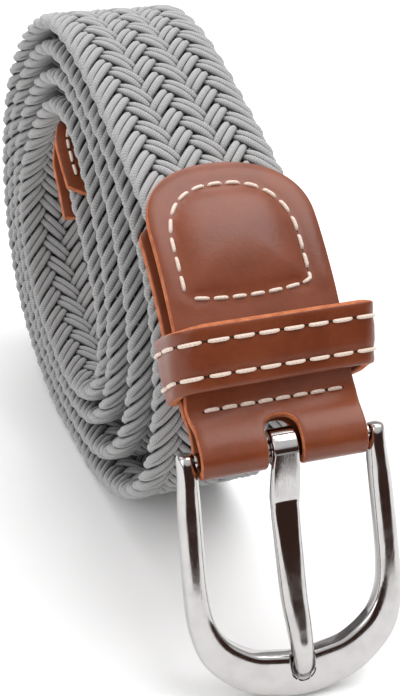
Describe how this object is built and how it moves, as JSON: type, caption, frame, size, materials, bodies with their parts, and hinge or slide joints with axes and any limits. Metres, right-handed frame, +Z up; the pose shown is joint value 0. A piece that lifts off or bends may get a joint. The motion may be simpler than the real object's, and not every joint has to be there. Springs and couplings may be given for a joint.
{
  "type": "braided stretch belt",
  "caption": "Rolled braided stretch belt standing on its tread, with a leather tab, keeper and tip and a hinged horseshoe buckle with a prong.",
  "frame": {"origin": "middle of the bounding box, on the floor that the roll stands on", "axes": "+X across the belt's width, -Y towards the buckle, +Z up"},
  "size_m": [0.0434, 0.1617, 0.1024],
  "materials": {
    "braid": "matte",
    "leather": "satin",
    "metal": "polished"
  },
  "bodies": {
    "belt": {"braided_strap": "braid", "buckle_tab": "leather", "keeper_loop": "leather", "tip_outer_leaf": "leather", "tip_inner_leaf": "leather"},
    "buckle": {"buckle_frame": "metal"},
    "prong": {"buckle_prong": "metal"}
  },
  "joints": [
    {"name": "buckle_swing", "type": "hinge", "parent": "belt", "child": "buckle", "pos_m": [-0.0009, -0.0625, 0.04905], "axis": [-0.9891, 0.1259, -0.0763], "range_deg": [-40, 60]},
    {"name": "prong_swing", "type": "hinge", "parent": "buckle", "child": "prong", "pos_m": [-0.0009, -0.0625, 0.04905], "axis": [-0.9891, 0.1259, -0.0763], "range_deg": [0, 65]}
  ]
}
